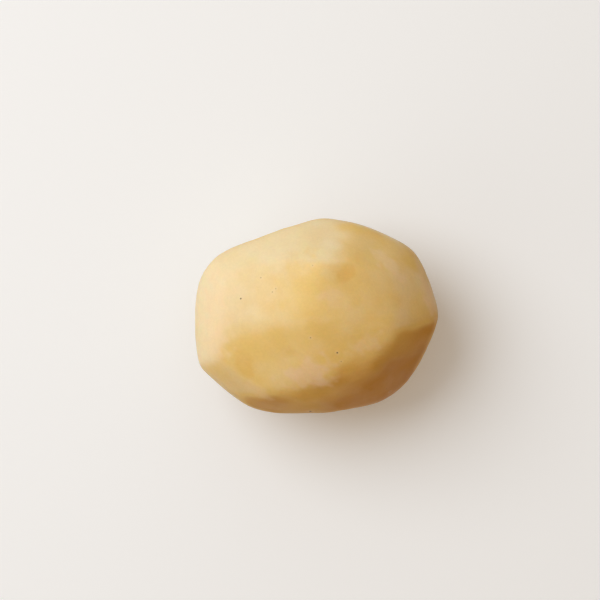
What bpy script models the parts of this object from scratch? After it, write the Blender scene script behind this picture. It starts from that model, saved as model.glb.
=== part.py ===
"""A peeled potato, lying on its flattest side.

The potato grew as one piece, so it is one solid. Its form is what a peeler leaves: a body inside
some forty long shallow cuts, with a soft ridge wherever two cuts meet, and shallow hollows where
the eyes are. Each cut is a stroke, a slightly bent sheet that touches the body at one point. The
body is what lies behind every sheet.

+X runs along the potato to its pointed end and +Z is up. The origin is on the surface that the
potato lies on, under the middle of its outline.
"""

from collections import namedtuple

import bmesh
import bpy
import numpy as np

# Driving dimensions, in metres
LENGTH = 0.0860
WIDTH = 0.0692
HEIGHT = 0.0580
REST_CUT = 0.0005          # how much of the lowest point is flattened where the potato lies

# The strokes and eyes below are drawn in millimetres, about the middle of the body
MILLIMETRE = 0.001
REACH = 16.0               # how far a stroke runs before its bend takes hold
RIDGE = 0.8                # how softly two strokes meet
FARTHEST = 70.0            # no point of the body is this far from its middle
HALVINGS = 26              # rounds of halving that find the surface along a ray

CELLS = 30                 # rows and columns of faces on each of the six sides of the grid

FLESH = (0.73, 0.48, 0.18, 1.0)
FLESH_ROUGHNESS = 0.45

# A stroke touches the body at a point and faces (azimuth, elevation) degrees there. It runs level
# when run is 0 and up the slope when run is 90, and it falls away by bend degrees at each end.
Stroke = namedtuple("Stroke", "name touch azimuth elevation run bend")

BELT = [
    Stroke("left_end",          (-42.9,  -2.0,   0.0),  180,   0,   0, 12),
    Stroke("left_shoulder_low", (-37.9,  18.2,  -1.0),  142,   0,   0,  4),
    Stroke("left_shoulder",     (-33.1,  23.5,   0.0),  121,   0,   0,  6),
    Stroke("far_left",          (-15.5,  29.6,   1.0),  109,   0,   0,  2),
    Stroke("far_right",         ( 19.5,  31.1,   0.0),   70,   0,   0, 15),
    Stroke("right_shoulder",    ( 38.0,  17.7,  -1.0),   29,   0,   0, 10),
    Stroke("right_tip_far",     ( 42.1,   7.0,  -1.0),   14,   0,   0,  2),
    Stroke("right_tip_near",    ( 39.1, -11.4,  -1.0),  -23,   0,   0, 12),
    Stroke("right_heel",        ( 28.7, -26.8,   0.0),  -51,   0,   0, 12),
    Stroke("near_right",        (  7.0, -33.9,   1.0),  -83,   0,   0,  8),
    Stroke("near_left",         (-18.5, -34.4,   0.0), -104,   0,   0, 20),
    Stroke("left_heel",         (-33.6, -24.7,   0.0), -130,   0,   0,  1),
]

UPPER_SIDE = [
    Stroke("left_upper",        (-39.0,   0.0,  13.5),  178,  38,   0, 12),
    Stroke("left_heel_upper",   (-31.5, -22.0,  12.5), -128,  34,   0,  6),
    Stroke("crown_left",        (-15.0,   9.0,  26.2),  156,  69,  10, 14),
    Stroke("crown",             (  3.0,   9.0,  29.4),   90,  84,   0, 22),
    Stroke("upper_left",        ( -9.0,  26.5,  18.5),  105,  44,   0, 14),
    Stroke("upper_right",       ( 18.2,  23.3,  19.9),   63,  42,   0, 12),
    Stroke("right_upper",       ( 33.1,  19.0,  13.8),   42,  34,   0, 10),
    Stroke("crown_right",       ( 21.0,   5.0,  26.4),   14,  70,  80, 14),
    Stroke("right_mid",         ( 38.0,   1.0,  16.0),    4,  50,   0, 12),
    Stroke("tip_far_upper",     ( 41.0,   7.0,  11.3),   20,  28,   0, 12),
    Stroke("lower_left",        ( -3.0, -16.0,  25.0), -112,  66, -15, 10),
    Stroke("middle",            (  8.0,  -8.0,  28.2),  -75,  74,   0, 14),
    Stroke("lower_middle",      ( 10.0, -19.0,  24.1),  -72,  60,   0, 10),
    Stroke("near_slope",        ( -3.0, -26.0,  19.6),  -86,  46,   0,  8),
    Stroke("lower_right",       ( 22.0, -17.0,  21.4),  -52,  43,   0, 24),
    Stroke("lower_right_edge",  ( 24.0, -24.0,  11.1),  -57,  30,   0, 18),
    Stroke("lower_near",        ( -8.0, -32.6,   9.5),  -95,  24,   0, 12),
]

UNDERSIDE = [
    Stroke("under",             (  1.0,  -1.0, -28.5),    0, -90,   0, 12),
    Stroke("under_left_end",    (-39.5,  -2.0, -10.0),  176, -28,   0, 14),
    Stroke("under_left",        (-26.0,  -1.0, -22.5),  172, -60,   8, 14),
    Stroke("under_heel",        (-32.0, -20.0, -10.0), -138, -26,   0,  8),
    Stroke("under_near_left",   (-14.0, -28.5, -12.5), -106, -34,   0, 14),
    Stroke("under_near_right",  ( 15.0, -28.0, -11.0),  -76, -30,   0, 12),
    Stroke("under_near",        (  2.0, -17.0, -24.0),  -92, -62,   6, 14),
    Stroke("under_right_heel",  ( 31.0, -16.0, -14.0),  -38, -40,   0, 12),
    Stroke("under_right",       ( 26.0,   1.0, -22.5),    4, -62,  -6, 14),
    Stroke("under_right_end",   ( 39.5,   2.0,  -9.0),    4, -32,   0, 12),
    Stroke("under_far_right",   ( 20.0,  25.0, -13.0),   62, -34,   0, 12),
    Stroke("under_far_left",    (-13.0,  26.5, -12.5),  106, -30,   0, 14),
    Stroke("under_far",         (  0.0,  16.0, -24.0),   88, -60,  -8, 14),
    Stroke("under_shoulder",    (-32.0,  18.0, -12.0),  138, -34,   0, 10),
]

STROKES = BELT + UPPER_SIDE + UNDERSIDE

# An eye lies where a ray from the middle at (azimuth, elevation) leaves the body. It is a hollow
# of this width and depth, twice as long as it is wide if long is 2, with its long side level.
Eye = namedtuple("Eye", "name azimuth elevation width depth long")

EYES = [
    Eye("crown_eye",         57,  57, 6.0, 0.2, 1.2),
    Eye("near_eye",        -122,  58, 4.0, 0.2, 1.3),
    Eye("tip_eye",            6, -13, 6.0, 0.8, 1.5),
    Eye("right_heel_eye",   -46,  -8, 6.5, 0.9, 1.6),
    Eye("near_side_eye",    -92, -14, 6.0, 0.7, 1.6),
    Eye("left_end_eye",     176,  -9, 7.0, 1.0, 1.5),
    Eye("far_side_eye",     112,   3, 6.5, 0.9, 1.6),
    Eye("far_right_eye",     58, -12, 6.0, 0.8, 1.5),
    Eye("under_eye",        150, -48, 6.0, 0.7, 1.4),
    Eye("under_right_eye",  -20, -52, 6.0, 0.7, 1.5),
]


def facing(azimuth, elevation):
    """Unit vectors of a sheet: its outward normal, level along it, and up its slope."""
    azimuth = np.radians(azimuth)
    elevation = np.radians(elevation)
    normal = np.array([np.cos(elevation) * np.cos(azimuth),
                       np.cos(elevation) * np.sin(azimuth),
                       np.sin(elevation)])
    level = np.array([-np.sin(azimuth), np.cos(azimuth), 0.0])
    return normal, level, np.cross(normal, level)


def above_stroke(points, stroke):
    """Height of each point above one stroke's sheet.

    That is the distance from the flat sheet, plus tan(bend) times a hyperbola of the distance
    along the run: sqrt(REACH squared + along squared) - REACH.
    """
    normal, level, up = facing(stroke.azimuth, stroke.elevation)
    run = np.radians(stroke.run)
    offset = points - np.array(stroke.touch)
    along = offset @ (np.cos(run) * level + np.sin(run) * up)
    fall = np.sqrt(REACH ** 2 + along ** 2) - REACH
    return offset @ normal + np.tan(np.radians(stroke.bend)) * fall


def above_body(points):
    """Soft maximum of the heights above all strokes: RIDGE * log(sum of exp(height / RIDGE))."""
    heights = np.stack([above_stroke(points, stroke) for stroke in STROKES])
    highest = heights.max(axis=0)
    return highest + RIDGE * np.log(np.exp((heights - highest) / RIDGE).sum(axis=0))


def surface_along(rays, above):
    """Point of each ray from the middle where above() turns from inside to outside, by halving."""
    inside = np.zeros(len(rays))
    outside = np.full(len(rays), FARTHEST)
    for _ in range(HALVINGS):
        middle = (inside + outside) / 2
        within = above(rays * middle[:, None]) < 0
        inside = np.where(within, middle, inside)
        outside = np.where(within, outside, middle)
    return rays * inside[:, None]


def above_peeled(points):
    """Height above the body with its eyes: each adds depth * exp(-(distance / half width)^2)."""
    height = above_body(points)
    for eye in EYES:
        normal, level, up = facing(eye.azimuth, eye.elevation)
        centre = surface_along(normal[None, :], above_body)[0]
        offset = points - centre
        spread = (offset @ level / eye.long) ** 2 + (offset @ up) ** 2 + (offset @ normal) ** 2
        height = height + eye.depth * np.exp(-spread / (eye.width / 2) ** 2)
    return height


def even_grid(cells):
    """A cube of faces, cells by cells on each side, that looks even from its middle."""
    grid = bmesh.new()
    bmesh.ops.create_cube(grid, size=2.0)
    bmesh.ops.subdivide_edges(grid, edges=grid.edges[:], cuts=cells - 1, use_grid_fill=True)
    cube = np.array([vertex.co[:] for vertex in grid.verts])
    rays = np.tan(cube * np.pi / 4)
    return grid, rays / np.linalg.norm(rays, axis=1)[:, None]


def fit_to_size(points):
    """Scale the drawn body to LENGTH, WIDTH and HEIGHT, with its flattened underside at zero."""
    low = points.min(axis=0)
    high = points.max(axis=0)
    size = np.array([LENGTH, WIDTH, HEIGHT + REST_CUT])
    middle = (low + high) / 2
    fitted = (points - middle) / (high - low) * size
    fitted[:, 2] += HEIGHT / 2 - REST_CUT / 2
    return fitted


def flatten_underside(grid):
    """Cut off what is below zero and close the cut with one flat face."""
    everything = grid.verts[:] + grid.edges[:] + grid.faces[:]
    cut = bmesh.ops.bisect_plane(grid, geom=everything, dist=MILLIMETRE / 100,
                                 plane_co=(0, 0, 0), plane_no=(0, 0, -1), clear_outer=True)
    rim = [item for item in cut["geom_cut"] if isinstance(item, bmesh.types.BMEdge)]
    for vertex in {vertex for edge in rim for vertex in edge.verts}:
        vertex.co.z = 0.0
    bmesh.ops.edgeloop_fill(grid, edges=rim)


def flesh_material():
    """Pale yellow flesh, moist but not glossy."""
    material = bpy.data.materials.new("potato_flesh")
    material.use_nodes = True
    shader = material.node_tree.nodes["Principled BSDF"]
    shader.inputs["Base Color"].default_value = FLESH
    shader.inputs["Roughness"].default_value = FLESH_ROUGHNESS
    shader.inputs["Metallic"].default_value = 0.0
    return material


def build_potato():
    """The one piece: the grid drawn in to the peeled surface, with a flat spot to lie on."""
    grid, rays = even_grid(CELLS)
    points = fit_to_size(surface_along(rays, above_peeled) * MILLIMETRE)
    for vertex, point in zip(grid.verts, points):
        vertex.co = point
    flatten_underside(grid)
    bmesh.ops.triangulate(grid, faces=grid.faces[:])
    bmesh.ops.recalc_face_normals(grid, faces=grid.faces[:])
    mesh = bpy.data.meshes.new("potato")
    grid.to_mesh(mesh)
    grid.free()
    mesh.shade_smooth()
    mesh.materials.append(flesh_material())
    potato = bpy.data.objects.new("potato", mesh)
    bpy.context.scene.collection.objects.link(potato)


for leftover in list(bpy.data.objects):
    bpy.data.objects.remove(leftover)
build_potato()
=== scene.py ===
"""Looks of a peeled potato: its fine surface, its flesh, the light and the camera.

The potato's form is the one that the frame holds: a body inside 43 peel strokes. Here the same
strokes are worked out on a much finer grid, with what a peeler and the flesh add: broad waves and
small ripples, streaks along the blade's path, and eyes with a raised rim. Colour follows the
strokes too. A shallow stroke leaves pale outer flesh and one that cut in further shows yellow
flesh. The strokes on the lower right and the near side, where shade falls, get a brown that is
partly browning flesh and partly painted shade. Soft patches, stains and specks lie where they
are named below.

Everything is drawn in millimetres about the middle of the body and is then fitted to the frame.
"""

from collections import namedtuple

import bpy
import numpy as np
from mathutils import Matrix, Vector


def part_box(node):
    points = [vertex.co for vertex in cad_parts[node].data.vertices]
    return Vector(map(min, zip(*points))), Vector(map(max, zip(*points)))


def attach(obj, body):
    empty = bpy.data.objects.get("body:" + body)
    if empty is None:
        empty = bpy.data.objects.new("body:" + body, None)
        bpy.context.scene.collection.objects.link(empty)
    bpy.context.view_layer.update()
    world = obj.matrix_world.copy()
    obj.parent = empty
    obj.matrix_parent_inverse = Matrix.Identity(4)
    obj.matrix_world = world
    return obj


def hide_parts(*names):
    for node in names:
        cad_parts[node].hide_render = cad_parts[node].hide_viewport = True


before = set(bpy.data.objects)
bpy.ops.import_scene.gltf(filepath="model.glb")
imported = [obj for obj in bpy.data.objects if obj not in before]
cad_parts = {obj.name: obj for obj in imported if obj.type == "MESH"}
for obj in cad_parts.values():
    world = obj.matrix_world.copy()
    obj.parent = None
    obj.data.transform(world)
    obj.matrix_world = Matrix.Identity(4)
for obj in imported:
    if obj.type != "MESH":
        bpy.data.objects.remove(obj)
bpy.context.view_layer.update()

MILLIMETRE = 0.001
LOW, HIGH = (np.array(corner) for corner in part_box("potato"))

# Form, as the solid has it
REST_CUT = 0.5             # how much of the lowest point is flattened where the potato lies
REACH = 16.0               # how far a stroke runs before its bend takes hold
RIDGE = 0.8                # how softly two strokes meet
FARTHEST = 70.0            # no point of the body is this far from its middle
HALVINGS = 9               # rounds of halving that find the surface along a ray

# Fine surface, and the numbers that its random draws start from
CELLS = 126                # rows and columns of faces on each of the six sides of the grid
SWELL = 0.14               # height of the broad waves, every SWELL_LENGTH
SWELL_LENGTH = 15.0
SWELL_SEED = 11
RIPPLE = 0.045             # height of the smaller waves, every RIPPLE_LENGTH
RIPPLE_LENGTH = 5.0
RIPPLE_SEED = 12
STREAK = 0.004             # height of the streaks that the blade leaves, every STREAK_LENGTH
STREAK_LENGTH = 1.9
STREAK_WAVES = 5           # sine waves in one stroke's streaks
STREAK_SPREAD = (0.6, 2.2)     # their lengths, in STREAK_LENGTH
STREAK_TURN = 6.28         # their phases lie between 0 and this
STREAK_SLANT = 0.03        # how far the streaks lean off the stroke's run
STREAK_SEED = 100
RIM_HEIGHT = 0.2           # an eye's rim, as shares of its depth and of half its width
RIM_LENGTH = 1.3
RIM_ABOVE = 1.1
RIM_WIDTH = 0.6

# Edges of colour
COLOUR_EDGE = 0.38         # how softly the colours of two strokes meet
EDGE_WANDER = 0.35         # how far that edge wanders, every EDGE_LENGTH
EDGE_LENGTH = 9.0
EDGE_WAVES = 5
EDGE_SEED = 200
PATCH_EDGE = (0.35, 0.45, 1.45)    # how far a patch's edge wanders, and where it starts and ends
STAIN_EDGE = (0.15, 0.60, 1.20)
WOBBLE_LENGTH = 5.0        # the wander of a patch's edge: coarse waves and FINE_SHARE of fine ones
WOBBLE_SEED = 21
FINE_LENGTH = 2.4
FINE_SHARE = 0.6
FINE_SEED = 22
STROKE_SPACING = 7.0       # keeps the streaks' pattern of one stroke apart from the next one's

# A stroke touches the body at a point and faces (azimuth, elevation) degrees there. It runs level
# when run is 0 and up the slope when run is 90, and it falls away by bend degrees at each end.
# A shallow stroke, near 0, shows pale outer flesh, and one that cut in further, near 1, yellow
# inner flesh. Near 2 the colour is a brown that is partly browning flesh and partly painted shade:
# the strokes where shade falls, on the lower right and the near side, are set above 1 for it.
Stroke = namedtuple("Stroke", "name touch azimuth elevation run bend deep")

BELT = [
    Stroke("left_end",          (-42.9,  -2.0,   0.0),  180,   0,   0, 12, 0.15),
    Stroke("left_shoulder_low", (-37.9,  18.2,  -1.0),  142,   0,   0,  4, 0.35),
    Stroke("left_shoulder",     (-33.1,  23.5,   0.0),  121,   0,   0,  6, 0.20),
    Stroke("far_left",          (-15.5,  29.6,   1.0),  109,   0,   0,  2, 0.45),
    Stroke("far_right",         ( 19.5,  31.1,   0.0),   70,   0,   0, 15, 0.30),
    Stroke("right_shoulder",    ( 38.0,  17.7,  -1.0),   29,   0,   0, 10, 0.80),
    Stroke("right_tip_far",     ( 42.1,   7.0,  -1.0),   14,   0,   0,  2, 0.20),
    # The next three strokes lie where shade falls: their values above 1 are partly browning flesh
    # and partly painted shade.
    Stroke("right_tip_near",    ( 39.1, -11.4,  -1.0),  -23,   0,   0, 12, 1.10),
    Stroke("right_heel",        ( 28.7, -26.8,   0.0),  -51,   0,   0, 12, 1.30),
    Stroke("near_right",        (  7.0, -33.9,   1.0),  -83,   0,   0,  8, 1.30),
    Stroke("near_left",         (-18.5, -34.4,   0.0), -104,   0,   0, 20, 0.60),
    Stroke("left_heel",         (-33.6, -24.7,   0.0), -130,   0,   0,  1, 0.30),
]

UPPER_SIDE = [
    Stroke("left_upper",        (-39.0,   0.0,  13.5),  178,  38,   0, 12, 0.10),
    Stroke("left_heel_upper",   (-31.5, -22.0,  12.5), -128,  34,   0,  6, 0.50),
    Stroke("crown_left",        (-15.0,   9.0,  26.2),  156,  69,  10, 14, 0.30),
    Stroke("crown",             (  3.0,   9.0,  29.4),   90,  84,   0, 22, 0.65),
    Stroke("upper_left",        ( -9.0,  26.5,  18.5),  105,  44,   0, 14, 0.12),
    Stroke("upper_right",       ( 18.2,  23.3,  19.9),   63,  42,   0, 12, 0.75),
    Stroke("right_upper",       ( 33.1,  19.0,  13.8),   42,  34,   0, 10, 0.75),
    Stroke("crown_right",       ( 21.0,   5.0,  26.4),   14,  70,  80, 14, 0.80),
    Stroke("right_mid",         ( 38.0,   1.0,  16.0),    4,  50,   0, 12, 0.50),
    Stroke("tip_far_upper",     ( 41.0,   7.0,  11.3),   20,  28,   0, 12, 0.20),
    Stroke("lower_left",        ( -3.0, -16.0,  25.0), -112,  66, -15, 10, 0.68),
    Stroke("middle",            (  8.0,  -8.0,  28.2),  -75,  74,   0, 14, 0.75),
    # From here down the strokes lie in the shade on the lower right and the near side: their values
    # above 1 are partly browning flesh and partly painted shade.
    Stroke("lower_middle",      ( 10.0, -19.0,  24.1),  -72,  60,   0, 10, 1.35),
    Stroke("near_slope",        ( -3.0, -26.0,  19.6),  -86,  46,   0,  8, 1.50),
    Stroke("lower_right",       ( 22.0, -17.0,  21.4),  -52,  43,   0, 24, 1.60),
    Stroke("lower_right_edge",  ( 24.0, -24.0,  11.1),  -57,  30,   0, 18, 2.00),
    Stroke("lower_near",        ( -8.0, -32.6,   9.5),  -95,  24,   0, 12, 1.55),
]

UNDERSIDE = [
    Stroke("under",             (  1.0,  -1.0, -28.5),    0, -90,   0, 12, 0.45),
    Stroke("under_left_end",    (-39.5,  -2.0, -10.0),  176, -28,   0, 14, 0.60),
    Stroke("under_left",        (-26.0,  -1.0, -22.5),  172, -60,   8, 14, 0.30),
    Stroke("under_heel",        (-32.0, -20.0, -10.0), -138, -26,   0,  8, 0.55),
    Stroke("under_near_left",   (-14.0, -28.5, -12.5), -106, -34,   0, 14, 0.35),
    Stroke("under_near_right",  ( 15.0, -28.0, -11.0),  -76, -30,   0, 12, 0.50),
    Stroke("under_near",        (  2.0, -17.0, -24.0),  -92, -62,   6, 14, 0.70),
    Stroke("under_right_heel",  ( 31.0, -16.0, -14.0),  -38, -40,   0, 12, 0.30),
    Stroke("under_right",       ( 26.0,   1.0, -22.5),    4, -62,  -6, 14, 0.60),
    Stroke("under_right_end",   ( 39.5,   2.0,  -9.0),    4, -32,   0, 12, 0.35),
    Stroke("under_far_right",   ( 20.0,  25.0, -13.0),   62, -34,   0, 12, 0.65),
    Stroke("under_far_left",    (-13.0,  26.5, -12.5),  106, -30,   0, 14, 0.30),
    Stroke("under_far",         (  0.0,  16.0, -24.0),   88, -60,  -8, 14, 0.50),
    Stroke("under_shoulder",    (-32.0,  18.0, -12.0),  138, -34,   0, 10, 0.60),
]

STROKES = BELT + UPPER_SIDE + UNDERSIDE

# An eye lies where a ray from the middle at (azimuth, elevation) leaves the body. It is a hollow
# of this width and depth, twice as long as it is wide if long is 2, with its long side level.
Eye = namedtuple("Eye", "name azimuth elevation width depth long")

EYES = [
    Eye("crown_eye",         57,  57, 6.0, 0.2, 1.2),
    Eye("near_eye",        -122,  58, 4.0, 0.2, 1.3),
    Eye("tip_eye",            6, -13, 6.0, 0.8, 1.5),
    Eye("right_heel_eye",   -46,  -8, 6.5, 0.9, 1.6),
    Eye("near_side_eye",    -92, -14, 6.0, 0.7, 1.6),
    Eye("left_end_eye",     176,  -9, 7.0, 1.0, 1.5),
    Eye("far_side_eye",     112,   3, 6.5, 0.9, 1.6),
    Eye("far_right_eye",     58, -12, 6.0, 0.8, 1.5),
    Eye("under_eye",        150, -48, 6.0, 0.7, 1.4),
    Eye("under_right_eye",  -20, -52, 6.0, 0.7, 1.5),
]

# A patch of another colour that shows from above, x and y from the middle of the outline, with
# half its length and half its width, turned from +X towards +Y.
Patch = namedtuple("Patch", "name kind x y half_length half_width turn strength")

PATCHES_ABOVE = [
    Patch("crown_yellow",       "yellow",  -5.0,  10.5, 10.0,  8.0,  70, 0.5),
    Patch("lower_left_yellow",  "yellow", -18.0, -10.0, 13.0,  6.0,  20, 0.3),
    Patch("crown_eye_stain",    "ochre",   10.0,  14.8,  5.0,  2.8,  55, 0.60),
    Patch("heel_ochre",         "ochre",  -25.0, -16.5,  5.5,  3.2, -70, 0.45),
    Patch("near_left_pale",     "pale",   -20.5, -26.0,  4.5,  2.2, -35, 0.45),
    Patch("near_ochre",         "ochre",   -9.0, -27.5,  5.0,  2.6,  10, 0.4),
    Patch("near_ochre_right",   "ochre",    3.0, -28.0,  5.0,  3.0,  10, 0.35),
    Patch("lower_right_ochre",  "ochre",   14.5, -18.0,  7.0,  4.2,  28, 0.70),
    Patch("near_pink",          "pink",    -3.0, -19.5,  8.5,  5.0,  10, 0.65),
    Patch("crown_pink",         "pink",     5.0,   6.5,  5.0,  2.6, -20, 0.4),
    Patch("right_heel_pink",    "pink",    22.0, -25.5,  7.0,  3.0,  35, 0.12),
    Patch("ridge_pale",         "pale",    26.0,  17.5,  8.0,  2.2, -40, 0.65),
    # A painted reflection: the pale strip along the right tip stands for the white surroundings
    # mirrored there.
    Patch("tip_painted_reflection",           "pale",    40.0,   7.0,  9.0,  2.8,  113, 0.9),
    Patch("middle_pale",        "pale",    17.0,  -9.5,  6.0,  3.0,  20, 0.5),
    Patch("lower_pale",         "pale",     3.0, -22.0,  3.5,  3.0,   0, 0.5),
    # Partly paler outer flesh at the left end, partly a painted highlight where the key light falls.
    Patch("left_pale",          "pale",   -35.0,   0.0, 16.0,  6.0,  85, 0.7),
]

# A patch on the sides or the underside lies where a ray at (azimuth, elevation) leaves the body.
SidePatch = namedtuple(
    "SidePatch", "name kind azimuth elevation half_length half_width turn strength")

PATCHES_ROUND = [
    SidePatch("left_end_yellow",     "yellow",  178, -20,  9.0, 5.0,  10, 0.7),
    SidePatch("far_yellow",          "yellow",   92,   8, 12.0, 6.0,   5, 0.8),
    SidePatch("far_left_pale",       "pale",    126, -10, 10.0, 4.0,   0, 0.7),
    SidePatch("far_right_pink",      "pink",     48,  -2,  7.0, 4.0,  20, 0.8),
    SidePatch("far_ochre",           "ochre",   101, -20,  5.0, 3.0,   0, 0.6),
    SidePatch("tip_yellow",          "yellow",  -14, -16,  9.0, 5.0,  15, 0.7),
    SidePatch("near_yellow",         "yellow",  -75, -18, 13.0, 5.0,   5, 0.7),
    SidePatch("near_side_pale",      "pale",   -112, -14, 10.0, 4.0, -10, 0.7),
    SidePatch("heel_pink",           "pink",   -140, -20,  7.0, 4.0,  10, 0.7),
    SidePatch("under_yellow",        "yellow",  -60, -70, 14.0, 9.0,  30, 0.6),
    SidePatch("under_pale",          "pale",    120, -62, 12.0, 6.0,  10, 0.7),
    SidePatch("under_pink",          "pink",     20, -48,  8.0, 5.0,   0, 0.6),
    SidePatch("under_ochre",         "ochre",  -160, -45,  5.0, 3.0,   0, 0.6),
]

# A dark speck seen from above at (x, y), or, on the sides and the underside, along a ray
Speck = namedtuple("Speck", "name x y radius dark")
SideSpeck = namedtuple("SideSpeck", "name azimuth elevation radius dark")

SPECKS_ABOVE = [
    Speck("left_speck",         -26.0,   6.4, 0.36, 0.95),
    Speck("right_speck",          7.0, -12.4, 0.36, 0.95),
    Speck("edge_speck",          -2.0, -33.3, 0.60, 0.95),
    Speck("upper_left_speck",   -19.2,  13.5, 0.32, 0.35),
    Speck("middle_speck",        -2.2,  -7.1, 0.32, 0.45),
    Speck("lower_speck",          8.5, -15.6, 0.30, 0.35),
    Speck("heel_speck",          26.0, -26.6, 0.34, 0.45),
    Speck("arc_left",           -15.3,   8.6, 0.34, 0.30),
    Speck("arc_right",          -14.2,   9.7, 0.32, 0.30),
    Speck("crown_speck",         -1.5,  17.8, 0.28, 0.25),
]

SPECKS_ROUND = [
    SideSpeck("left_end_speck",   168,   6, 0.36, 0.9),
    SideSpeck("far_speck",         98,  12, 0.36, 0.9),
    SideSpeck("far_speck_low",     80, -14, 0.32, 0.6),
    SideSpeck("tip_speck",         -8,  -4, 0.34, 0.8),
    SideSpeck("near_speck",       -66,  -6, 0.36, 0.9),
    SideSpeck("near_speck_left", -118,  -8, 0.32, 0.6),
    SideSpeck("under_speck",      -90, -55, 0.36, 0.9),
    SideSpeck("under_speck_far",   70, -60, 0.34, 0.7),
]

# Flesh: colours in linear light, sizes in metres unless the comment says otherwise
OUTER_FLESH = (0.88, 0.76, 0.50, 1.0)
INNER_FLESH = (0.83, 0.59, 0.185, 1.0)
# A brown that is partly browning flesh and partly painted shade, for the strokes where shade falls
BROWNED_AND_SHADED_FLESH = (0.63, 0.320, 0.035, 1.0)
YELLOW_FLESH = (0.86, 0.63, 0.21, 1.0)
OCHRE_FLESH = (0.80, 0.50, 0.12, 1.0)
PINK_FLESH = (0.89, 0.66, 0.45, 1.0)
# Pale outer flesh; the same colour also paints the reflection on the right tip and part of the
# highlight at the left end
PALE_FLESH_AND_HIGHLIGHT = (0.92, 0.72, 0.45, 1.0)
SPECK_BROWN = (0.060, 0.025, 0.008, 1.0)
PATCH_COLOURS = {          # by the kind of patch, in the order in which they cover each other
    "yellow": YELLOW_FLESH,
    "pale": PALE_FLESH_AND_HIGHLIGHT,
    "pink": PINK_FLESH,
    "ochre": OCHRE_FLESH,
}
LUMPS = 0.016              # lumps of the slow change that is added to a stroke's depth
LUMPS_SHARE = 0.32
OUTER_TO_INNER = (0.06, 1.16)      # depths between which the colours change
# From yellow flesh to the brown that is partly browning flesh and partly painted shade
INNER_TO_BROWN_AND_SHADE = (1.1, 2.1)
PATCH_GRAIN = 0.006        # noise that breaks up a patch: its lumps, the values used, what is left
PATCH_RANGE = (0.2, 0.65)
PATCH_SHARE = (0.45, 0.95)
EYE_STAIN = 0.45           # ochre in an eye, for a millimetre of its depth
RIDGE_PALENESS = 0.12
STREAK_STRETCH = 0.06      # the streaks' pattern along the blade, as a share of that across it
STREAK_WIDTH = 1.1         # in millimetres
STREAK_SHADE = (0.992, 1.006)
GRAIN = 0.0009             # the finest light and dark of the flesh
GRAIN_SHADE = (0.975, 1.015)
NOISE_RANGE = (0.3, 0.7)   # the part of a noise's values that is used
DOT_SPACING = 0.0065       # faint dots: their grid, which are kept, and their size in it
DOT_KEPT = (0.80, 0.82)
DOT_SIZE = (0.025, 0.06)
DOT_DARKNESS = 0.28
MARK_CORE = 0.45           # the part of a speck's radius that is fully dark
HALO_RADIUS = 3.5          # pale flesh round a speck, in radii of it
HALO_PALENESS = 0.20
MOISTURE = 0.010           # lumps of moister and drier flesh, between the two roughnesses
ROUGHNESS_LOW = 0.40
ROUGHNESS_HIGH = 0.56
REFRACTION = 1.38          # water's is 1.33
SUBSURFACE = 0.35
SUBSURFACE_SPREAD = (1.0, 0.42, 0.14)
SUBSURFACE_DEPTH = 0.0035
STREAK_RELIEF = 0.00002
PORES = 0.0006             # lumps of the finest relief
PORE_RELIEF = 0.00003

# View and light, in metres: the camera looks straight down, as the photo does
PHOTO_PIXELS = 600
OUTLINE_LENGTH = 0.086
OUTLINE_PIXELS = 241.9
METRES_PER_PIXEL = OUTLINE_LENGTH / OUTLINE_PIXELS
OUTLINE_MIDDLE_RIGHT = 16.15   # px from the photo's centre to the middle of the outline
OUTLINE_MIDDLE_DOWN = 16.1
CAMERA_HEIGHT = 0.90
SENSOR = 36.0
FLOOR_SIZE = 4.0
KEY_FROM = (-0.54, 0.33, 0.775)
KEY_POWER = 11.1
FILL_FROM = (-0.70, -0.60, 0.38)
FILL_POWER = 1.2
LIGHT_DISTANCE = 1.4
LIGHT_SIZE = 1.2
LIGHT_COLOUR = (1.0, 1.0, 1.0)
LIGHT_AIM = (0.0, 0.0, 0.03)
FLOOR_WHITE = (0.90, 0.95, 1.0, 1.0)
FLOOR_ROUGHNESS = 0.9
FLOOR_GLOW = (0.80, 0.88, 1.0, 1.0)
FLOOR_GLOW_STRENGTH = 0.10
ROOM_WINDOW = (-0.64, 0.60, 0.48)
ROOM_BRIGHT = (0.70, 0.68, 0.64, 1.0)
ROOM_DIM = (0.30, 0.172, 0.056, 1.0)
ROOM_BELOW = (0.40, 0.285, 0.145, 1.0)
ALL_BELOW = -0.35          # height of a direction of length 1 that has ROOM_BELOW alone


def facing(azimuth, elevation):
    """Unit vectors of a sheet: its outward normal, level along it, and up its slope."""
    azimuth = np.radians(azimuth)
    elevation = np.radians(elevation)
    normal = np.array([np.cos(elevation) * np.cos(azimuth),
                       np.cos(elevation) * np.sin(azimuth),
                       np.sin(elevation)])
    level = np.array([-np.sin(azimuth), np.cos(azimuth), 0.0])
    return normal, level, np.cross(normal, level)


def waves(points, length, seed, count=9):
    """Smooth lumps about `length` apart, from about -1 to 1.

    They are a sum of plane sine waves, divided by twice the root of half their number. Each wave
    has a direction, a phase and a length (0.7 to 1.5 of the one asked) drawn by seed.
    """
    draw = np.random.default_rng(seed)
    directions = draw.normal(size=(count, 3))
    directions /= np.linalg.norm(directions, axis=1)[:, None]
    lengths = length * draw.uniform(0.7, 1.5, count)
    phases = draw.uniform(0.0, 2 * np.pi, count)
    angles = points @ (directions * (2 * np.pi / lengths)[:, None]).T + phases
    return np.sin(angles).sum(axis=1) / np.sqrt(count / 2) / 2


def blade_axes(stroke):
    """A stroke's normal, the direction of its run, and the direction across the blade."""
    normal, level, up = facing(stroke.azimuth, stroke.elevation)
    run = np.radians(stroke.run)
    along = np.cos(run) * level + np.sin(run) * up
    return normal, along, np.cross(normal, along)


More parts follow.
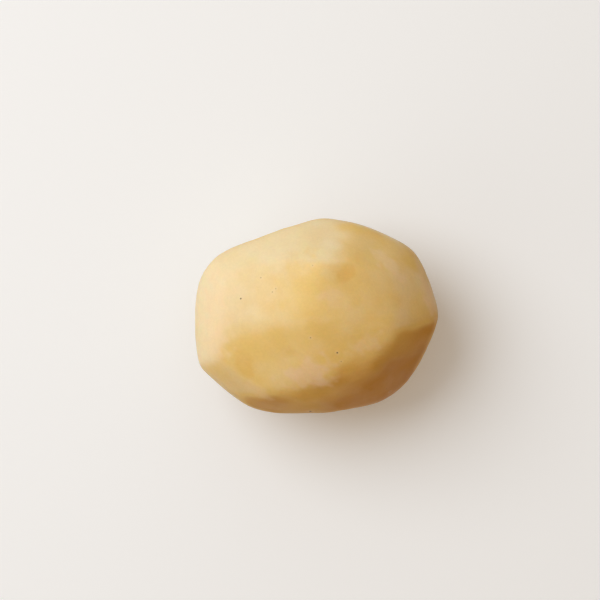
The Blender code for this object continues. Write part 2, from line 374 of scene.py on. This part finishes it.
def above_stroke(points, stroke):
    """Height of each point above one stroke's sheet.

    That is the distance from the flat sheet, plus tan(bend) times a hyperbola of the distance
    along the run: sqrt(REACH squared + along squared) - REACH.
    """
    normal, run, _ = blade_axes(stroke)
    offset = points - np.array(stroke.touch)
    along = offset @ run
    fall = np.sqrt(REACH ** 2 + along ** 2) - REACH
    return offset @ normal + np.tan(np.radians(stroke.bend)) * fall


def streaks(points, stroke, seed):
    """Fine grooves along a stroke: a third of a sum of sine waves of the distance across it.

    Each wave's length and its phase are drawn by seed.
    """
    draw = np.random.default_rng(seed)
    _, run, across = blade_axes(stroke)
    side = points @ across + STREAK_SLANT * (points @ run)
    lengths = STREAK_LENGTH * draw.uniform(*STREAK_SPREAD, STREAK_WAVES)
    phases = draw.uniform(0, STREAK_TURN, STREAK_WAVES)
    total = np.zeros(len(points))
    for length, phase in zip(lengths, phases):
        total += np.sin(side * 2 * np.pi / length + phase)
    return total / 3


def stroke_heights(points):
    """Height above every stroke, one row each."""
    return np.stack([above_stroke(points, stroke) for stroke in STROKES])


def stroke_shares(heights):
    """How much of each point belongs to each stroke: exp(height / COLOUR_EDGE) over their sum."""
    share = np.exp((heights - heights.max(axis=0)) / COLOUR_EDGE)
    return share / share.sum(axis=0)


def soft_maximum(heights, softness):
    """softness * log(sum of exp(height / softness)) over the rows."""
    highest = heights.max(axis=0)
    return highest + softness * np.log(np.exp((heights - highest) / softness).sum(axis=0))


def above_body(points):
    """Height above the plain body, as the solid has it."""
    return soft_maximum(stroke_heights(points), RIDGE)


def surface_along(starts, rays, above):
    """Point of each ray from its start where above() turns from inside to outside.

    The gap that holds it is halved HALVINGS times, and a straight line between the two heights
    at the ends of the last gap gives the place in it.
    """
    inside = np.zeros(len(rays))
    outside = np.full(len(rays), FARTHEST)
    for _ in range(HALVINGS):
        middle = (inside + outside) / 2
        within = above(starts + rays * middle[:, None]) < 0
        inside = np.where(within, middle, inside)
        outside = np.where(within, outside, middle)
    under = above(starts + rays * inside[:, None])
    over = above(starts + rays * outside[:, None])
    place = inside + (outside - inside) * under / (under - over)
    return starts + rays * place[:, None]


def place_along(azimuth, elevation):
    """Where a ray from the middle leaves the body, and its outward, level and upward directions."""
    normal, level, up = facing(azimuth, elevation)
    centre = surface_along(np.zeros((1, 3)), normal[None, :], above_body)[0]
    return centre, normal, level, up


def place_above(x, y):
    """Where a plumb line at (x, y) meets the body's upper side."""
    start = np.array([[x, y, 0.0]])
    return surface_along(start, np.array([[0.0, 0.0, 1.0]]), above_body)[0]


def eye_reach(points, eye):
    """1 at an eye's centre, fading out as exp(-(distance / half width)^2), and its rim's reach.

    The rim is the same hump, RIM_LENGTH as long and RIM_WIDTH as wide, RIM_ABOVE half widths up.
    """
    centre, normal, level, up = place_along(eye.azimuth, eye.elevation)
    offset = points - centre
    along = offset @ level / eye.long
    rise = offset @ up
    depth = offset @ normal
    half = eye.width / 2
    hollow = np.exp(-(along ** 2 + rise ** 2 + depth ** 2) / half ** 2)
    rim_rise = (rise - RIM_ABOVE * half) / RIM_WIDTH
    rim = np.exp(-((along / RIM_LENGTH) ** 2 + rim_rise ** 2 + depth ** 2) / half ** 2)
    return hollow, rim


def above_peeled(points):
    """Height above the finished surface: soft maximum of the strokes, then eyes and waves.

    Each eye adds its depth times its hollow, less RIM_HEIGHT times its rim. The waves are added at
    the point itself, and the streaks of each stroke by its share of the point.
    """
    heights = stroke_heights(points)
    share = stroke_shares(heights)
    height = soft_maximum(heights, RIDGE)
    for eye in EYES:
        hollow, rim = eye_reach(points, eye)
        height = height + eye.depth * (hollow - RIM_HEIGHT * rim)
    height = height + SWELL * waves(points, SWELL_LENGTH, SWELL_SEED)
    height = height + RIPPLE * waves(points, RIPPLE_LENGTH, RIPPLE_SEED)
    for number, stroke in enumerate(STROKES):
        height = height + STREAK * share[number] * streaks(points, stroke, STREAK_SEED + number)
    return height


def cube_grid(cells):
    """Rays and four-sided faces of a cube's surface, cells by cells a side, with no seams.

    Each side is a grid of whole-number corners. Corners that sides share are found by their
    numbers and kept once. The tangent of each coordinate evens the grid out round the middle.
    """
    step = np.arange(cells + 1)
    first, second = np.meshgrid(step, step, indexing="ij")
    sides = []
    for axis in range(3):
        for end in (0, cells):
            side = np.empty((cells + 1, cells + 1, 3), dtype=int)
            side[..., axis] = end
            side[..., (axis + 1) % 3] = first if end else second
            side[..., (axis + 2) % 3] = second if end else first
            sides.append(side)
    corners = np.stack(sides).reshape(-1, 3)
    kept, index = np.unique(corners, axis=0, return_inverse=True)
    index = index.reshape(6, cells + 1, cells + 1)
    quads = [index[:, :-1, :-1], index[:, 1:, :-1], index[:, 1:, 1:], index[:, :-1, 1:]]
    faces = np.stack(quads, axis=-1).reshape(-1, 4)
    rays = np.tan((kept / cells * 2 - 1) * np.pi / 4)
    return rays / np.linalg.norm(rays, axis=1)[:, None], faces


def fit_to_frame(points):
    """Scale the drawn body to the frame's box, with a flat spot where the potato lies.

    The body reaches REST_CUT below the box, and each point below it is raised to its lowest level.
    """
    low = points.min(axis=0)
    high = points.max(axis=0)
    size = HIGH - LOW
    size[2] += REST_CUT * MILLIMETRE
    fitted = (points - (low + high) / 2) / (high - low) * size
    fitted += (HIGH + LOW) / 2
    fitted[:, 2] -= REST_CUT * MILLIMETRE / 2
    fitted[:, 2] = np.maximum(fitted[:, 2], LOW[2])
    return fitted


def soft_step(value, low, high):
    """0 below low, 1 above high, and 3t^2 - 2t^3 between them."""
    t = np.clip((value - low) / (high - low), 0.0, 1.0)
    return t * t * (3 - 2 * t)


def patch_reach(points, centre, level, up, patch, wobble):
    """1 inside an ellipse on the surface, 0 outside it, with a soft edge that wanders.

    The distance is the root of the sum of three squares: of along / half length, of across / half
    width and of depth / twice the half width. An ochre stain keeps its shape better than the broad
    patches do, and has a firmer edge.
    """
    wander, inner, outer = STAIN_EDGE if patch.kind == "ochre" else PATCH_EDGE
    turn = np.radians(patch.turn)
    along = np.cos(turn) * level + np.sin(turn) * up
    across = np.cos(turn) * up - np.sin(turn) * level
    offset = points - centre
    outward = np.cross(level, up)
    distance = np.sqrt((offset @ along / patch.half_length) ** 2
                       + (offset @ across / patch.half_width) ** 2
                       + (offset @ outward / (2 * patch.half_width)) ** 2)
    return patch.strength * (1 - soft_step(distance + wander * wobble, inner, outer))


def patch_masks(points):
    """The strength of each kind of patch at each point, 0 to 1: the strongest where some overlap."""
    masks = {kind: np.zeros(len(points)) for kind in PATCH_COLOURS}
    wobble = waves(points, WOBBLE_LENGTH, WOBBLE_SEED)
    wobble = wobble + FINE_SHARE * waves(points, FINE_LENGTH, FINE_SEED)
    right = np.array([1.0, 0.0, 0.0])
    far = np.array([0.0, 1.0, 0.0])
    for patch in PATCHES_ABOVE:
        centre = place_above(patch.x, patch.y)
        reach = patch_reach(points, centre, right, far, patch, wobble)
        masks[patch.kind] = np.maximum(masks[patch.kind], reach)
    for patch in PATCHES_ROUND:
        centre, _, level, up = place_along(patch.azimuth, patch.elevation)
        reach = patch_reach(points, centre, level, up, patch, wobble)
        masks[patch.kind] = np.maximum(masks[patch.kind], reach)
    return masks


def stroke_masks(points):
    """The stroke's value at each point, which tells how far it cut in and above 1 is partly painted
    shade, and how near the point is to a ridge, 0 to 1.

    The value is the sum of each stroke's value times its share. The ridge is 1 where no share
    is above a half and 0 where one is whole. Slow waves are added to each stroke's height first, so
    the edges of the colours wander.
    """
    wander = [EDGE_WANDER * waves(points, EDGE_LENGTH, EDGE_SEED + number, EDGE_WAVES)
              for number in range(len(STROKES))]
    share = stroke_shares(stroke_heights(points) + np.stack(wander))
    deep = np.array([stroke.deep for stroke in STROKES]) @ share
    ridge = 1 - soft_step(share.max(axis=0), 0.5, 1.0)
    return deep, ridge


def blade_coordinates(points):
    """Across, along and which stroke, in millimetres: the coordinates of the streaks' colour."""
    nearest = stroke_heights(points).argmax(axis=0)
    axes = [blade_axes(stroke) for stroke in STROKES]
    runs = np.array([run for _, run, _ in axes])[nearest]
    sides = np.array([side for _, _, side in axes])[nearest]
    across = (points * sides).sum(axis=1)
    along = (points * runs).sum(axis=1)
    return np.stack([across, along, nearest * STROKE_SPACING], axis=1)


def build_potato():
    """The whole surface as one closed piece, with its colour masks as attributes of its points.

    Returns the piece and its points, as drawn in millimetres and as fitted to the frame.
    """
    rays, faces = cube_grid(CELLS)
    drawn = surface_along(np.zeros_like(rays), rays, above_peeled)
    fitted = fit_to_frame(drawn)
    mesh = bpy.data.meshes.new("peeled_potato")
    mesh.from_pydata(fitted.tolist(), [], faces.tolist())
    mesh.shade_smooth()
    deep, ridge = stroke_masks(drawn)
    masks = patch_masks(drawn)
    # The strokes' values, whose brown end is partly painted shade
    masks["deep"] = deep
    masks["ridge"] = ridge
    masks["eye"] = np.max([eye.depth * eye_reach(drawn, eye)[0] for eye in EYES], axis=0)
    for name, values in masks.items():
        attribute = mesh.attributes.new(name, "FLOAT", "POINT")
        attribute.data.foreach_set("value", values.astype(np.float32))
    blade = mesh.attributes.new("blade", "FLOAT_VECTOR", "POINT")
    blade.data.foreach_set("vector", blade_coordinates(drawn).astype(np.float32).ravel())
    piece = bpy.data.objects.new("peeled_potato", mesh)
    bpy.context.scene.collection.objects.link(piece)
    return piece, drawn, fitted


# Sockets of Blender's Mix node that hold its two colours and the mixed one
FIRST_COLOUR = 6
SECOND_COLOUR = 7
MIXED_COLOUR = 2


class Recipe:
    """A material's node tree, built up one ingredient at a time."""

    def __init__(self, name):
        self.material = bpy.data.materials.new(name)
        self.material.use_nodes = True
        self.tree = self.material.node_tree
        self.shader = self.tree.nodes["Principled BSDF"]
        self.place = self.tree.nodes.new("ShaderNodeTexCoord").outputs["Object"]

    def join(self, value, socket):
        """Link an output to a socket, or set the socket to a plain value."""
        if isinstance(value, bpy.types.NodeSocket):
            self.tree.links.new(value, socket)
        else:
            socket.default_value = value

    def noise(self, size, detail=2.0, roughness=0.5, place=None):
        """Noise with lumps of this size, in metres or in the unit of the place given."""
        node = self.tree.nodes.new("ShaderNodeTexNoise")
        node.inputs["Scale"].default_value = 1.0 / size
        node.inputs["Detail"].default_value = detail
        node.inputs["Roughness"].default_value = roughness
        self.join(place or self.place, node.inputs["Vector"])
        return node.outputs["Fac"]

    def attribute(self, name, output="Fac"):
        """A value stored at the points of the mesh."""
        node = self.tree.nodes.new("ShaderNodeAttribute")
        node.attribute_name = name
        return node.outputs[output]

    def remap(self, value, low, high, to_low=0.0, to_high=1.0):
        """Take low..high to to_low..to_high along 3t^2 - 2t^3, and hold it beyond both ends."""
        node = self.tree.nodes.new("ShaderNodeMapRange")
        node.interpolation_type = "SMOOTHSTEP"
        self.join(value, node.inputs["Value"])
        node.inputs["From Min"].default_value = low
        node.inputs["From Max"].default_value = high
        node.inputs["To Min"].default_value = to_low
        node.inputs["To Max"].default_value = to_high
        return node.outputs["Result"]

    def maths(self, operation, first, second):
        """One sum or product of two values."""
        node = self.tree.nodes.new("ShaderNodeMath")
        node.operation = operation
        self.join(first, node.inputs[0])
        self.join(second, node.inputs[1])
        return node.outputs[0]

    def blend(self, factor, first, second, how="MIX"):
        """Mix two colours by a factor."""
        node = self.tree.nodes.new("ShaderNodeMix")
        node.data_type = "RGBA"
        node.blend_type = how
        self.join(factor, node.inputs["Factor"])
        self.join(first, node.inputs[FIRST_COLOUR])
        self.join(second, node.inputs[SECOND_COLOUR])
        return node.outputs[MIXED_COLOUR]

    def near(self, point, radius):
        """1 within MARK_CORE of the radius round a point of the surface, 0 beyond the radius."""
        node = self.tree.nodes.new("ShaderNodeVectorMath")
        node.operation = "DISTANCE"
        self.join(self.place, node.inputs[0])
        node.inputs[1].default_value = point
        return self.remap(node.outputs["Value"], radius * MARK_CORE, radius, 1.0, 0.0)

    def bump(self, height, distance, below=None):
        """Bump by a height of 0 to 1 over a distance in metres, on top of another bump."""
        node = self.tree.nodes.new("ShaderNodeBump")
        node.inputs["Strength"].default_value = 1.0
        node.inputs["Distance"].default_value = distance
        self.join(height, node.inputs["Height"])
        if below is not None:
            self.join(below, node.inputs["Normal"])
        return node.outputs["Normal"]


def speck_points(drawn, fitted):
    """Places of the named specks on the finished surface, in metres: its nearest point to each."""
    places = [(speck, place_above(speck.x, speck.y)) for speck in SPECKS_ABOVE]
    places += [(speck, place_along(speck.azimuth, speck.elevation)[0])
               for speck in SPECKS_ROUND]
    found = []
    for speck, place in places:
        nearest = np.argmin(((drawn - place) ** 2).sum(axis=1))
        found.append((speck, fitted[nearest]))
    return found


def flesh_colour(flesh):
    """Outer, inner or brown flesh by the stroke's value and slow noise, then the patches. The brown
    is partly browning flesh and partly painted shade, where the strokes lie in shade.

    The eyes are stained with ochre, and the ridges between the strokes are a little paler.
    """
    slow = flesh.remap(flesh.noise(LUMPS, detail=3.0), *NOISE_RANGE)
    slow = flesh.maths("MULTIPLY", slow, LUMPS_SHARE)
    # The stroke's value with slow noise picks the colour; its brown end is partly browning flesh and
    # partly painted shade
    depth = flesh.maths("ADD", flesh.attribute("deep"), slow)
    colour = flesh.blend(flesh.remap(depth, *OUTER_TO_INNER), OUTER_FLESH, INNER_FLESH)
    colour = flesh.blend(flesh.remap(depth, *INNER_TO_BROWN_AND_SHADE), colour, BROWNED_AND_SHADED_FLESH)
    for kind, tint in PATCH_COLOURS.items():
        broken = flesh.noise(PATCH_GRAIN, detail=4.0, roughness=0.6)
        broken = flesh.remap(broken, *PATCH_RANGE, *PATCH_SHARE)
        strength = flesh.maths("MULTIPLY", flesh.attribute(kind), broken)
        colour = flesh.blend(strength, colour, tint)
    stain = flesh.maths("MULTIPLY", flesh.attribute("eye"), EYE_STAIN)
    colour = flesh.blend(stain, colour, OCHRE_FLESH)
    paleness = flesh.maths("MULTIPLY", flesh.attribute("ridge"), RIDGE_PALENESS)
    return flesh.blend(paleness, colour, PALE_FLESH_AND_HIGHLIGHT)


def streak_pattern(flesh):
    """Noise across each stroke, drawn out along the blade's path."""
    stretch = flesh.tree.nodes.new("ShaderNodeMapping")
    stretch.inputs["Scale"].default_value = (1.0, STREAK_STRETCH, 1.0)
    flesh.join(flesh.attribute("blade", "Vector"), stretch.inputs["Vector"])
    place = stretch.outputs["Vector"]
    return flesh.noise(STREAK_WIDTH, detail=3.0, roughness=0.6, place=place)


def with_specks(flesh, colour, specks):
    """The colour with faint dots scattered over it, and the named specks in their pale halos.

    The dots are the middles of a random few cells of a Voronoi pattern.
    """
    dots = flesh.tree.nodes.new("ShaderNodeTexVoronoi")
    dots.inputs["Scale"].default_value = 1 / DOT_SPACING
    flesh.join(flesh.place, dots.inputs["Vector"])
    chosen = flesh.tree.nodes.new("ShaderNodeSeparateColor")
    flesh.join(dots.outputs["Color"], chosen.inputs["Color"])
    rare = flesh.remap(chosen.outputs["Red"], *DOT_KEPT)
    dot = flesh.remap(dots.outputs["Distance"], *DOT_SIZE, DOT_DARKNESS, 0.0)
    colour = flesh.blend(flesh.maths("MULTIPLY", dot, rare), colour, SPECK_BROWN)
    for speck, point in specks:
        radius = speck.radius * MILLIMETRE
        mark = flesh.near(point, radius)
        halo = flesh.near(point, HALO_RADIUS * radius)
        halo = flesh.maths("MULTIPLY", halo, HALO_PALENESS)
        colour = flesh.blend(halo, colour, PALE_FLESH_AND_HIGHLIGHT)
        colour = flesh.blend(flesh.maths("MULTIPLY", mark, speck.dark), colour, SPECK_BROWN)
    return colour


def flesh_material(specks):
    """Moist raw flesh: colour, faint streaks and grain, specks, a satin gloss and fine relief."""
    flesh = Recipe("potato_flesh")
    colour = flesh_colour(flesh)
    streak = streak_pattern(flesh)
    grain = flesh.noise(GRAIN, detail=3.0, roughness=0.65)
    shade = flesh.remap(streak, *NOISE_RANGE, *STREAK_SHADE)
    shade = flesh.maths("MULTIPLY", shade, flesh.remap(grain, *NOISE_RANGE, *GRAIN_SHADE))
    colour = flesh.blend(1.0, colour, shade, how="MULTIPLY")
    colour = with_specks(flesh, colour, specks)

    shader = flesh.shader.inputs
    flesh.join(colour, shader["Base Color"])
    moist = flesh.noise(MOISTURE, detail=3.0)
    moist = flesh.remap(moist, *NOISE_RANGE, ROUGHNESS_LOW, ROUGHNESS_HIGH)
    flesh.join(moist, shader["Roughness"])
    shader["Metallic"].default_value = 0.0
    shader["IOR"].default_value = REFRACTION
    shader["Subsurface Weight"].default_value = SUBSURFACE
    shader["Subsurface Radius"].default_value = SUBSURFACE_SPREAD
    shader["Subsurface Scale"].default_value = SUBSURFACE_DEPTH
    relief = flesh.bump(streak, STREAK_RELIEF)
    relief = flesh.bump(flesh.noise(PORES, detail=2.0), PORE_RELIEF, below=relief)
    flesh.join(relief, shader["Normal"])
    return flesh.material


def floor_material():
    """Matt white with a faint glow, which keeps the floor pale in the potato's shadow."""
    material = bpy.data.materials.new("floor_white")
    material.use_nodes = True
    shader = material.node_tree.nodes["Principled BSDF"].inputs
    shader["Base Color"].default_value = FLOOR_WHITE
    shader["Roughness"].default_value = FLOOR_ROUGHNESS
    shader["Emission Color"].default_value = FLOOR_GLOW
    shader["Emission Strength"].default_value = FLOOR_GLOW_STRENGTH
    return material


def build_floor():
    """A wide pale floor that the potato lies on.

    It catches the shadow, but it throws no white light back at the potato and holds none up:
    the room's own light from below, ROOM_BELOW, stands in for it.
    """
    half = FLOOR_SIZE / 2
    corners = [(-half, -half, 0), (half, -half, 0), (half, half, 0), (-half, half, 0)]
    mesh = bpy.data.meshes.new("floor")
    mesh.from_pydata(corners, [], [(0, 1, 2, 3)])
    mesh.materials.append(floor_material())
    floor = bpy.data.objects.new("floor", mesh)
    bpy.context.scene.collection.objects.link(floor)
    floor.visible_diffuse = False
    floor.visible_shadow = False


def add_area_light(name, towards, power):
    """A round soft light LIGHT_DISTANCE from LIGHT_AIM, seen from there in this direction."""
    data = bpy.data.lights.new(name, "AREA")
    data.shape = "DISK"
    data.size = LIGHT_SIZE
    data.energy = power
    data.color = LIGHT_COLOUR
    light = bpy.data.objects.new(name, data)
    direction = Vector(np.array(towards) / np.linalg.norm(towards))
    light.location = direction * LIGHT_DISTANCE + Vector(LIGHT_AIM)
    light.rotation_euler = direction.to_track_quat("Z", "Y").to_euler()
    bpy.context.scene.collection.objects.link(light)


def build_room():
    """A room that is bright towards the window side and dim and warm on the other.

    The colour in a direction goes from ROOM_DIM to ROOM_BRIGHT with how much the direction points
    towards ROOM_WINDOW. From the horizon down to ALL_BELOW it changes to ROOM_BELOW.
    """
    world = bpy.data.worlds.new("room")
    bpy.context.scene.world = world
    world.use_nodes = True
    tree = world.node_tree
    direction = tree.nodes.new("ShaderNodeTexCoord").outputs["Generated"]
    towards = tree.nodes.new("ShaderNodeVectorMath")
    towards.operation = "DOT_PRODUCT"
    tree.links.new(direction, towards.inputs[0])
    towards.inputs[1].default_value = ROOM_WINDOW
    brightness = tree.nodes.new("ShaderNodeMapRange")
    tree.links.new(towards.outputs["Value"], brightness.inputs["Value"])
    colour = tree.nodes.new("ShaderNodeMix")
    colour.data_type = "RGBA"
    colour.inputs[FIRST_COLOUR].default_value = ROOM_DIM
    colour.inputs[SECOND_COLOUR].default_value = ROOM_BRIGHT
    tree.links.new(brightness.outputs["Result"], colour.inputs["Factor"])
    height = tree.nodes.new("ShaderNodeSeparateXYZ")
    tree.links.new(direction, height.inputs["Vector"])
    above = tree.nodes.new("ShaderNodeMapRange")
    above.inputs["From Min"].default_value = ALL_BELOW
    above.inputs["From Max"].default_value = 0.0
    tree.links.new(height.outputs["Z"], above.inputs["Value"])
    bounced = tree.nodes.new("ShaderNodeMix")
    bounced.data_type = "RGBA"
    bounced.inputs[FIRST_COLOUR].default_value = ROOM_BELOW
    tree.links.new(above.outputs["Result"], bounced.inputs["Factor"])
    tree.links.new(colour.outputs[MIXED_COLOUR], bounced.inputs[SECOND_COLOUR])
    tree.links.new(bounced.outputs[MIXED_COLOUR], tree.nodes["Background"].inputs["Color"])


def build_light():
    """A large soft key from the upper left and a weak fill from the lower left."""
    add_area_light("key", KEY_FROM, KEY_POWER)
    add_area_light("fill", FILL_FROM, FILL_POWER)


def build_camera():
    """A long lens straight above, placed so that the outline lies where the photo has it."""
    outline_height = (LOW[2] + HIGH[2]) / 2
    view_width = PHOTO_PIXELS * METRES_PER_PIXEL
    data = bpy.data.cameras.new("camera")
    data.sensor_width = SENSOR
    data.lens = SENSOR * (CAMERA_HEIGHT - outline_height) / view_width
    camera = bpy.data.objects.new("camera", data)
    camera.location = (-OUTLINE_MIDDLE_RIGHT * METRES_PER_PIXEL,
                       OUTLINE_MIDDLE_DOWN * METRES_PER_PIXEL, CAMERA_HEIGHT)
    bpy.context.scene.collection.objects.link(camera)
    bpy.context.scene.camera = camera


bpy.context.scene.view_settings.view_transform = "Standard"
build_camera()
build_room()
build_light()
build_floor()

potato, drawn_points, fitted_points = build_potato()
potato.data.materials.append(flesh_material(speck_points(drawn_points, fitted_points)))
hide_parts("potato")
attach(potato, "root")
